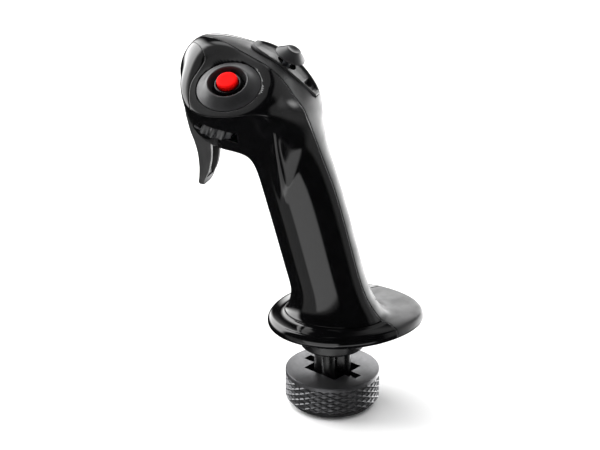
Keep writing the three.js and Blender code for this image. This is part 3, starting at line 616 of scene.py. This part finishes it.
def build_nose():
    columns = 128
    plan = edge_plan(44, True, False)
    a = RING * np.arange(columns) / columns
    s_grid = np.zeros((len(plan), columns))
    depth = np.zeros_like(s_grid)
    for j in range(columns):
        start = nose_row(a[j])
        per_mm = rows_for(1, start, a[j])
        first = float(start + per_mm * HALF_GAP)
        s_grid[:, j], depth[:, j] = spread(plan, first, NOSE_TIP, float(per_mm), 0.0)
    a_grid = np.broadcast_to(a, s_grid.shape)
    nose = shell_mesh("nose_fine", s_grid, a_grid, depth, wrap=True)
    cut(nose, trigger_well(), *wheel_slot())
    return nose


# ---------------------------------------------------------------- mini-stick panel
PANEL_FRONT, PANEL_REAR = np.array([41, 186.4]), np.array([8.2, 163.4])
PANEL_RADIUS, PANEL_HALF = 61.0, 8.4
PANEL_THICK, PANEL_THIN = 2.6, 1.2  # at its front and over its rear half
OPEN_ABOVE = 6.0  # how far the panel's space is cleared above it


def panel_arc():
    half = np.linalg.norm(PANEL_REAR - PANEL_FRONT) / 2
    middle = (PANEL_FRONT + PANEL_REAR) / 2
    along = (PANEL_REAR - PANEL_FRONT) / (2 * half)
    centre = middle + np.array([-along[1], along[0]]) * math.sqrt(PANEL_RADIUS**2 - half**2)
    start, end = PANEL_FRONT - centre, PANEL_REAR - centre
    return centre, math.atan2(start[1], start[0]), math.atan2(end[1], end[0])


PANEL_CENTRE, PANEL_FROM, PANEL_TO = panel_arc()


def panel_half(t):
    leaf = np.sin(np.pi * mix(0.012, 0.95, np.clip(t, 0, 1)) ** 0.75)
    return PANEL_HALF * leaf**0.55


def panel_points(t, v, height, grow=0.0):
    """t runs from the front to the rear, v across from -1 to 1; height is above the panel's arc."""
    angle = mix(PANEL_FROM, PANEL_TO, t)
    radius = PANEL_RADIUS + height
    x = v * (panel_half(t) + grow)
    y = PANEL_CENTRE[0] + radius * np.cos(angle)
    z = PANEL_CENTRE[1] + radius * np.sin(angle)
    return np.stack(np.broadcast_arrays(x, y, z), -1)


def panel_thickness(t):
    return mix(PANEL_THICK, PANEL_THIN, ease(2 * t))


def panel_space():
    """The space that the panel needs in the covers, open above."""
    t = np.linspace(-0.008, 1.008, 60)[:, None]
    v = np.linspace(-1, 1, 9)[None, :]
    top = panel_points(t, v, OPEN_ABOVE, GAP)
    low = panel_points(t, v, -panel_thickness(t) - GAP, GAP)
    return closed_pair("tool", top, low)


def closed_pair(name, top, low):
    """A closed solid between two matching grids of points."""
    rows, columns = top.shape[0] - 1, top.shape[1] - 1
    count, layer = columns + 1, (rows + 1) * (columns + 1)
    faces = grid_faces(rows, columns) + grid_faces(rows, columns, layer, flip=True)
    loop = list(range(count))
    loop += [i * count + columns for i in range(1, rows + 1)]
    loop += [rows * count + j for j in range(columns - 1, -1, -1)]
    loop += [i * count for i in range(rows - 1, 0, -1)]
    for p, q in zip(loop, loop[1:] + loop[:1]):
        faces.append((q, p, p + layer, q + layer))
    obj = new_object(name, np.concatenate([top.reshape(-1, 3), low.reshape(-1, 3)]), faces)
    weld(obj, 1e-7)
    return obj


def panel_height(t, v):
    """Height of the panel's top: a rounded rim round a shallow faceted floor, with a pocket at the rear."""
    side = np.abs(v)
    rim = ease((side - 0.66) / 0.2) + ease((0.1 - t) / 0.06) + ease((t - 0.93) / 0.04)
    floor = 1.0 * (1 - np.clip(rim, 0, 1)) * (0.75 + 0.25 * (1 - side))
    pocket = 2.6 * ease((t - 0.76) / 0.07) * (1 - ease((t - 0.9) / 0.03)) * (1 - ease((side - 0.62) / 0.2))
    edge = np.clip(1 - np.minimum((1 - side) * panel_half(t), np.minimum(t, 1 - t) * 38) / 0.7, 0, 1)
    return -floor - pocket - 0.7 * (1 - np.sqrt(1 - edge * edge))


def build_panel():
    ends = [np.linspace(0, 0.02, 8), np.linspace(0.98, 1, 8)]
    t = np.unique(np.concatenate([np.linspace(0, 1, 150)] + ends))[:, None]
    side = np.unique(np.concatenate([np.linspace(0, 1, 40), np.linspace(0.9, 1, 14)]))
    v = np.concatenate([-side[:0:-1], side])[None, :]
    top = panel_points(t, v, panel_height(t, v))
    low = panel_points(t, v, np.minimum(-panel_thickness(t), panel_height(t, v) - 0.4))
    panel = closed_pair("stick_panel_fine", top, low)
    cut(panel, rod_tool(5.0, -2, 14, STICK_FRAME))
    return panel


# ---------------------------------------------------------------- controls
def build_bezel():
    profile = [(8.9, -4.6), (15.4, -4.6), (15.4, -0.35)]
    profile += arc((15.05, -0.35), 0.35, 0, 80, 4)
    profile += [(14.4, 0.3), (13.8, 0.62), (13.0, 1.12), (12.2, 1.74), (11.5, 2.38), (10.9, 2.96)]
    profile += [(10.4, 3.38)]
    profile += arc((9.75, 3.15), 0.55, 62, 150, 6)
    profile += [(8.95, 2.6), (8.3, 1.0), (8.05, 0.2), (7.9, -0.3), (7.9, -0.8), (8.9, -0.8), (8.9, -4.6)]
    return lathe("bezel_fine", profile, 160, BOSS_FRAME)


def build_button_collar():
    profile = [(5.4, -1), (4.8, -1), (4.8, -5.5), (1.9, -5.5), (1.9, -7), (6.4, -7), (6.4, -3), (8.6, -3)]
    profile += [(8.6, -1.2), (7.3, -1.2), (6.75, -0.9), (6.45, -0.2), (6.4, 1.9)]
    profile += arc((6.05, 2.25), 0.35, 0, 90, 4)
    profile += arc((5.7, 2.3), 0.3, 90, 180, 3)
    profile += [(5.4, -1)]
    return lathe("button_ring_fine", profile, 120, BOSS_FRAME)


def build_button():
    profile = [(0, -6.9), (1.6, -6.9), (1.6, 4.2), (4.1, 4.2), (4.1, 1.2), (5.05, 1.2), (5.05, 4.2)]
    profile += arc((4.2, 4.25), 0.85, 0, 80, 6)
    profile += [(3.2, 5.15), (1.6, 5.1), (0, 5.08)]
    return lathe("red_cap_fine", profile, 96, BOSS_FRAME)


def build_stick_cap():
    profile = [(2.3, 7.4), (2.9, 7.4), (3.1, 7.6), (3.1, 9.6), (6.5, 9.6)]
    profile += arc((7.1, 10.1), 0.5, -80, 10, 5)
    profile += [(7.5, 10.7), (4.15, 13.5)]
    profile += arc((3.4, 13.6), 0.6, 10, 90, 5)
    profile += [(2.8, 14.12), (2.2, 13.85), (1.2, 13.5), (0, 13.4), (0, 11.7), (2.3, 11.7), (2.3, 7.4)]
    return lathe("stick_cap_fine", profile, 96, STICK_FRAME)


def smooth_curve(points, steps):
    """A Catmull-Rom curve through 2-D points."""
    p = np.array([points[0]] + list(points) + [points[-1]], float)
    out = []
    for k in range(1, len(p) - 2):
        a, b, c, d = p[k - 1 : k + 3]
        square, cube = 2 * a - 5 * b + 4 * c - d, 3 * b - a - 3 * c + d
        for t in np.arange(steps) / steps:
            out.append(0.5 * (2 * b + (c - a) * t + square * t**2 + cube * t**3))
    out.append(p[-2])
    return [tuple(q) for q in out]


# Side outline of the trigger's blade: down the front, round the tip and up the back, [y, z].
BLADE_FRONT = [
    (75.4, 158), (75.8, 152.5), (75.1, 147), (73.1, 139.3), (70.8, 133.3), (69.2, 127.2), (68.6, 121),
    (68.7, 116.5), (69.2, 112.6),
]
BLADE_REAR = [
    (68.6, 110.3), (67.2, 110.2), (65.6, 114.4), (63.5, 119.4), (62.3, 125.5), (62.2, 132), (63.6, 139),
    (64.6, 147), (65, 158),
]
CHANNEL_DEPTH, CHANNEL_FLOOR = 2.6, 114


def tongue_tools():
    """Tools that round the two lower corners of the blade, seen from the front."""
    tools = []
    inner, outer, high, low, drop = 2.0, 9, 112.6, 108, 2.4
    for side in (-1, 1):
        outline = []
        for t in np.linspace(0, math.pi / 2, 10):
            reach = inner + (TRIGGER_HALF - inner) * math.sin(t)
            outline.append((side * reach, high - drop * math.cos(t)))
        outline += [(side * outer, high), (side * outer, low), (side * inner, low)]
        tools.append(prism("tool", [(x, 55, z) for x, z in outline], [(x, 80, z) for x, z in outline]))
    return tools


def build_trigger():
    front, rear = smooth_curve(BLADE_FRONT, 6), smooth_curve(BLADE_REAR, 6)
    trigger = plate("trigger_fine", front + rear, -TRIGGER_HALF, TRIGGER_HALF)
    inner = [(y - CHANNEL_DEPTH, z) for y, z in front if z > CHANNEL_FLOOR]
    hollow = [(inner[0][0], 170)] + inner + [(40, inner[-1][1]), (40, 170)]
    channel_half = TRIGGER_HALF - TRIGGER_WALL
    cut(trigger, plate("tool", hollow, -channel_half, channel_half), *tongue_tools())
    bevel(trigger, 0.55, 3, 30)
    web = plate("tool", [(66, 148), (73.6, 148), (73.6, 157.5), (66, 157.5)], -LEVER_HALF, LEVER_HALF)
    union(trigger, web, cross_rod(4.4, -LEVER_HALF, LEVER_HALF, *TRIGGER_PIVOT))
    cut(trigger, cross_rod(3.7, 0.9, 2.8, *TRIGGER_PIVOT), cross_rod(1.75, -4.2, 4.2, *TRIGGER_PIVOT))
    return trigger


def build_wheel():
    steps = WHEEL_LOBES * 16
    angle = 2 * np.pi * np.arange(steps) / steps
    outline = WHEEL_RADIUS - WHEEL_LOBE + WHEEL_LOBE * np.cos(WHEEL_LOBES * angle)
    half = WHEEL_HALF
    profile = [(-half, 0.7), (-half + 0.2, 0.2), (-half + 0.7, 0.0)]
    profile += [(half - 0.7, 0.0), (half - 0.2, 0.2), (half, 0.7)]
    layers = [ring_at(outline - inset, angle, z) for z, inset in profile]
    bore = [ring_at(WHEEL_BORE, angle, z) for z in (half, -half)]
    points = np.concatenate(layers + bore + layers[:1])
    wheel = new_object("thumb_wheel_fine", points, grid_faces(len(profile) + 2, steps, wrap=True))
    weld(wheel)
    wheel.data.transform(WHEEL_FRAME)
    sharpen(wheel, 45)
    return wheel


# ---------------------------------------------------------------- coupling
KNURL_LOW, KNURL_HIGH = 3.6, 15.4
KNURLS, KNURL_PITCH, KNURL_DEPTH = 22, 2.95, 0.55


def knurl(angle, z):
    """Depth of the diamond knurling: thin raised lines round sunken diamonds."""
    around = angle * KNURLS / (2 * np.pi)
    up = (z - KNURL_LOW) / KNURL_PITCH
    first = np.abs((around + up) % 1 - 0.5) * 2
    second = np.abs((around - up) % 1 - 0.5) * 2
    ridge = np.clip((np.maximum(first, second) - 0.55) / 0.4, 0, 1)
    return KNURL_DEPTH * (1 - ridge)


def build_collar():
    sides = KNURLS * 18
    angle = 2 * np.pi * np.arange(sides) / sides
    rim, top = COLLAR_RADIUS, COLLAR_HEIGHT
    layers = [ring_at(r, angle, z) for r, z in ((0, top), (rim - 0.6, top), (rim - 0.2, top - 0.15))]
    layers += [ring_at(rim, angle, z) for z in (top - 0.6, KNURL_HIGH + 0.35)]
    layers += [ring_at(rim - knurl(angle, z), angle, z) for z in np.linspace(KNURL_HIGH, KNURL_LOW, 72)]
    layers += [ring_at(r, angle, z) for r, z in ((rim - 0.1, KNURL_LOW - 0.2), (21.3, 0.35), (20.8, 0.0))]
    layers += [ring_at(COLLAR_BORE, angle, z) for z in (0.0, COLLAR_ROOF)] + [ring_at(0, angle, COLLAR_ROOF)]
    collar = new_object("collar_fine", np.concatenate(layers), grid_faces(len(layers) - 1, sides, wrap=True))
    weld(collar)
    turn = Matrix.Rotation(COLLAR_TURN, 4, "Z")
    cut(collar, box_tool((20.5, 20.5, 12), (0, 0, 16), turn), box_tool((5, 34, 5), (0, 0, 18), turn))
    sharpen(collar, 28)
    return collar


def build_column():
    """The cross column: four arms with round ends, above a thin disc."""
    half, reach, fillet = 3.5, 9.6, 0.45
    outline = []
    for quarter in range(4):
        turn = quarter * math.pi / 2
        tip = [(reach - half + half * math.cos(t), half * math.sin(t)) for t in np.linspace(-1.35, 1.35, 15)]
        bends = np.linspace(0, math.pi / 2, 5)
        inside = [(half + fillet - fillet * math.sin(t), half + fillet - fillet * math.cos(t)) for t in bends]
        for x, y in tip + inside:
            outline.append((x * math.cos(turn) - y * math.sin(turn), x * math.sin(turn) + y * math.cos(turn)))
    low, high = COLUMN_FOOT, 30.7
    column = prism("neck_column_fine", [(x, y, low) for x, y in outline], [(x, y, high) for x, y in outline])
    bevel(column, 0.3, 2, 60)
    disc = [(0, COLUMN_FOOT), (11.6, COLUMN_FOOT), (11.8, 12.0), (11.8, 12.4), (11.6, 12.6), (0, 12.6)]
    union(column, lathe("tool", disc, 64))
    sharpen(column, 40)
    return column


def build_cup():
    profile = [(0, 31.1), (14.4, 31.1)]
    profile += arc((14.7, 32.9), 1.8, -88, -8, 8)
    profile += [(16.8, 35.5), (17.1, 38.8), (17.2, 39.7), (15.2, 39.7), (15.2, 44)]
    profile += [(0, 44)]
    return lathe("base_cup_fine", profile, 96)


# ---------------------------------------------------------------- materials
class Finish:
    """A node material built up step by step on one Principled shader."""

    def __init__(self, name, colour, roughness, metallic=0.0):
        self.material = bpy.data.materials.new(name)
        self.material.use_nodes = True
        self.tree = self.material.node_tree
        self.shader = self.tree.nodes["Principled BSDF"]
        self.colour = colour
        self.shader.inputs["Base Color"].default_value = (*colour, 1)
        self.shader.inputs["Roughness"].default_value = roughness
        self.shader.inputs["Metallic"].default_value = metallic
        self.place = self.tree.nodes.new("ShaderNodeTexCoord").outputs["Object"]
        self.normal = None

    def node(self, kind, **values):
        node = self.tree.nodes.new(kind)
        for key, value in values.items():
            setattr(node, key, value)
        return node

    def link(self, source, target):
        self.tree.links.new(source, target)

    def set(self, **sockets):
        for key, value in sockets.items():
            self.shader.inputs[key.replace("_", " ")].default_value = value
        return self

    def noise(self, scale, detail=3.0, stretch=(1, 1, 1)):
        mapping = self.node("ShaderNodeMapping")
        mapping.inputs["Scale"].default_value = stretch
        self.link(self.place, mapping.inputs["Vector"])
        noise = self.node("ShaderNodeTexNoise")
        noise.inputs["Scale"].default_value = scale
        noise.inputs["Detail"].default_value = detail
        self.link(mapping.outputs["Vector"], noise.inputs["Vector"])
        return noise.outputs["Fac"]

    def ramp(self, source, low, high, start=0.35, end=0.65):
        ramp = self.node("ShaderNodeMapRange")
        ramp.inputs["From Min"].default_value = start
        ramp.inputs["From Max"].default_value = end
        ramp.inputs["To Min"].default_value = low
        ramp.inputs["To Max"].default_value = high
        self.link(source, ramp.inputs["Value"])
        return ramp.outputs["Result"]

    def vary_roughness(self, scale, low, high, detail=3.0, stretch=(1, 1, 1)):
        self.link(self.ramp(self.noise(scale, detail, stretch), low, high), self.shader.inputs["Roughness"])
        return self

    def vary_colour(self, scale, other, detail=3.0):
        blend = self.node("ShaderNodeMix", data_type="RGBA")
        blend.inputs["A"].default_value = (*self.colour, 1)
        blend.inputs["B"].default_value = (*other, 1)
        self.link(self.ramp(self.noise(scale, detail), 0, 1), blend.inputs["Factor"])
        self.link(blend.outputs["Result"], self.shader.inputs["Base Color"])
        return self

    def bump(self, scale, height_mm, strength=1.0, detail=2.0, stretch=(1, 1, 1)):
        bump = self.node("ShaderNodeBump")
        bump.inputs["Strength"].default_value = strength
        bump.inputs["Distance"].default_value = height_mm * MM
        self.link(self.noise(scale, detail, stretch), bump.inputs["Height"])
        if self.normal is not None:
            self.link(self.normal, bump.inputs["Normal"])
        self.normal = bump.outputs["Normal"]
        self.link(self.normal, self.shader.inputs["Normal"])
        return self


def moulded(name, colour, roughness, grain_mm, grain_scale=2600):
    """Moulded plastic: a fine spark-eroded grain over a slow unevenness."""
    finish = Finish(name, colour, roughness)
    lighter = tuple(min(1.0, c * 1.3) for c in colour)
    finish.vary_roughness(180, roughness - 0.05, roughness + 0.05)
    finish.vary_colour(240, lighter)
    finish.bump(grain_scale, grain_mm, 0.5).bump(90, 0.02, 0.15)
    return finish


def make_finishes():
    gloss = Finish("gloss_black", (0.0014, 0.0014, 0.0016), 0.08)
    gloss.vary_roughness(260, 0.065, 0.095).vary_colour(150, (0.0022, 0.0022, 0.0025)).bump(320, 0.004, 0.12)
    satin = moulded("satin_grey", (0.012, 0.012, 0.0125), 0.4, 0.004)
    ring = moulded("ring_grey", (0.014, 0.014, 0.015), 0.42, 0.004)
    matte = moulded("matte_black", (0.012, 0.012, 0.0125), 0.5, 0.006)
    cap = moulded("cap_grey", (0.016, 0.016, 0.017), 0.45, 0.005)
    wheel = moulded("wheel_grey", (0.02, 0.02, 0.021), 0.24, 0.003)
    trim = moulded("trim_black", (0.003, 0.003, 0.0034), 0.3, 0.003)
    neck = moulded("neck_black", (0.007, 0.007, 0.0074), 0.26, 0.003)
    anodised = Finish("anodised_grey", (0.075, 0.075, 0.078), 0.36, 0.8)
    anodised.vary_roughness(500, 0.31, 0.41).vary_colour(120, (0.09, 0.09, 0.094)).bump(3800, 0.003, 0.5)
    steel = Finish("steel", (0.55, 0.56, 0.58), 0.3, 1.0)
    steel.vary_roughness(700, 0.22, 0.38).bump(1500, 0.002, 0.3)
    brass = Finish("gold_plate", (0.78, 0.55, 0.2), 0.25, 1.0).vary_roughness(900, 0.18, 0.32)
    zinc = Finish("zinc", (0.3, 0.31, 0.33), 0.42, 0.9)
    zinc.vary_roughness(600, 0.34, 0.5).bump(1800, 0.006, 0.4)
    red = Finish("red_cap", (0.72, 0.0012, 0.001), 0.5).set(Specular_IOR_Level=0.06)
    red.vary_roughness(300, 0.45, 0.55).vary_colour(220, (0.68, 0.0012, 0.001)).bump(2400, 0.003, 0.4)
    board = Finish("board_green", (0.02, 0.13, 0.05), 0.5)
    board.vary_colour(700, (0.03, 0.17, 0.07)).bump(1600, 0.02, 0.5)
    cable = Finish("cable_black", (0.015, 0.015, 0.015), 0.55)
    cable.vary_roughness(500, 0.45, 0.65).bump(900, 0.01, 0.5)
    module = moulded("module_black", (0.03, 0.032, 0.035), 0.55, 0.006)
    return {
        "gloss": gloss, "satin": satin, "ring": ring, "matte": matte, "cap": cap, "wheel": wheel,
        "trim": trim, "neck": neck, "anodised": anodised, "steel": steel, "brass": brass, "zinc": zinc,
        "red": red, "board": board, "cable": cable, "module": module,
    }


FINISHES = {key: finish.material for key, finish in make_finishes().items()}


def dress(obj, finish):
    obj.data.materials.clear()
    obj.data.materials.append(FINISHES[finish])


def dress_frame():
    """Procedural materials on the CAD nodes that stay."""
    for part in frame["record"]["subparts"]:
        dress(frame["nodes"][part["node"]], part["material_slot"])


def place_piece(obj, body, finish, slot, *nodes):
    dress(obj, finish)
    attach(obj, body)
    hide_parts(*nodes)


def build_object():
    place_piece(build_left_shell(), "grip", "gloss", "gloss", "left_shell")
    place_piece(build_right_shell(), "grip", "gloss", "gloss", "right_shell")
    place_piece(build_spine(), "grip", "satin", "satin", "spine_cover")
    place_piece(build_nose(), "grip", "gloss", "gloss", "nose_cover")
    place_piece(build_rest(), "grip", "gloss", "gloss", "hand_rest")
    place_piece(build_panel(), "grip", "satin", "satin", "stick_panel")
    place_piece(build_bezel(), "grip", "ring", "satin", "button_bezel")
    place_piece(build_button_collar(), "grip", "trim", "matte", "button_collar")
    place_piece(build_button(), "red_button", "red", "red", "red_button")
    place_piece(build_stick_cap(), "stick", "cap", "matte", "stick_cap")
    place_piece(build_trigger(), "trigger", "matte", "matte", "trigger")
    place_piece(build_wheel(), "wheel", "wheel", "matte", "thumb_wheel")
    place_piece(build_collar(), "collar", "anodised", "anodised", "locking_collar")
    place_piece(build_column(), "grip", "neck", "matte", "neck_column")
    place_piece(build_cup(), "grip", "trim", "matte", "base_cup")


# ---------------------------------------------------------------- studio
def add_camera():
    """A long lens that looks at the left side, from a little behind and 23 degrees above."""
    data = bpy.data.cameras.new("camera")
    camera = bpy.data.objects.new("camera", data)
    scene.collection.objects.link(camera)
    target = Vector((20.7, 25.2, 84.65)) * MM
    camera.location = Vector((-759.0, -258.6, 433.4)) * MM
    camera.rotation_euler = (target - camera.location).to_track_quat("-Z", "Y").to_euler()
    data.lens, data.sensor_width = 105.75, 36.0
    data.clip_start, data.clip_end = 0.05, 20
    scene.camera = camera


def add_floor():
    """A pale floor that lights the object but stays out of its reflections."""
    work = bmesh.new()
    bmesh.ops.create_grid(work, x_segments=1, y_segments=1, size=6)
    mesh = bpy.data.meshes.new("floor")
    work.to_mesh(mesh)
    work.free()
    mesh.transform(Matrix.Translation((0, 0, -0.0006)))
    floor = bpy.data.objects.new("floor", mesh)
    scene.collection.objects.link(floor)
    pale = Finish("floor_pale", (0.86, 0.86, 0.86), 0.9).vary_colour(3, (0.88, 0.88, 0.88))
    mesh.materials.append(pale.material)
    floor.visible_glossy = False
    floor.visible_shadow = False


# Soft light boxes round the object: middle and half-width in azimuth, the same in elevation
# (degrees, azimuth from forward towards the pilot's right), softness of the edges, brightness.
SOFTBOXES = [
    (290, 43, -27, 24, 8, 0.45),
    (272, 27, -27, 20, 5, 1.25),
    (286, 36, -49, 9, 5, 0.95),
    (222, 27, -37, 8, 5, 1.35),
    (14, 34, 31, 33, 14, 6.0),
    (24, 46, 74, 10, 12, 0.45),
    (116, 30, -12, 20, 8, 5.5),
    (128, 36, 34, 30, 12, 0.45),
    (168, 18, 2, 22, 14, 0.40),
    (84, 22, 19, 12, 6, 4.5),
    (68, 12, 57, 8, 8, 2.0),
]
FILL = 0.008


def add_world():
    """A dark studio with soft boxes of light."""
    world = bpy.data.worlds.new("studio")
    scene.world = world
    world.use_nodes = True
    tree = world.node_tree
    tree.nodes["Background"].inputs["Color"].default_value = (1, 1, 1, 1)
    way = tree.nodes.new("ShaderNodeSeparateXYZ")
    tree.links.new(tree.nodes.new("ShaderNodeTexCoord").outputs["Generated"], way.inputs[0])

    def math_node(operation, *values):
        node = tree.nodes.new("ShaderNodeMath")
        node.operation = operation
        for socket, value in zip(node.inputs, values):
            if isinstance(value, (int, float)):
                socket.default_value = value
            else:
                tree.links.new(value, socket)
        return node.outputs[0]

    def inside(distance, half, soft):
        span = tree.nodes.new("ShaderNodeMapRange")
        span.interpolation_type = "SMOOTHSTEP"
        span.inputs["From Min"].default_value = half + soft / 2
        span.inputs["From Max"].default_value = half - soft / 2
        tree.links.new(distance, span.inputs["Value"])
        return span.outputs["Result"]

    azimuth = math_node("MULTIPLY", math_node("ARCTAN2", way.outputs["X"], way.outputs["Y"]), 180 / math.pi)
    elevation = math_node("MULTIPLY", math_node("ARCSINE", way.outputs["Z"]), 180 / math.pi)
    total = None
    for middle, half, height, half_height, soft, brightness in SOFTBOXES:
        turned = math_node("WRAP", math_node("SUBTRACT", azimuth, middle), 180, -180)
        across = inside(math_node("ABSOLUTE", turned), half, soft)
        up = inside(math_node("ABSOLUTE", math_node("SUBTRACT", elevation, height)), half_height, soft)
        glow = math_node("MULTIPLY", math_node("MULTIPLY", across, up), brightness)
        total = glow if total is None else math_node("ADD", total, glow)
    tree.links.new(math_node("ADD", total, FILL), tree.nodes["Background"].inputs["Strength"])
    world.cycles.sampling_method = "MANUAL"
    world.cycles.sample_map_resolution = 512


def add_floor_light():
    """One broad lamp overhead, seen by the floor and matt surfaces only."""
    data = bpy.data.lights.new("ceiling", "AREA")
    data.shape = "SQUARE"
    data.size = 4.0
    data.energy = 90
    light = bpy.data.objects.new("ceiling", data)
    scene.collection.objects.link(light)
    light.location = (0, 0, 2.2)
    light.visible_glossy = False


def build_studio():
    add_camera()
    add_floor()
    add_floor_light()
    add_world()
    scene.view_settings.view_transform = "Standard"


dress_frame()
build_object()
build_studio()
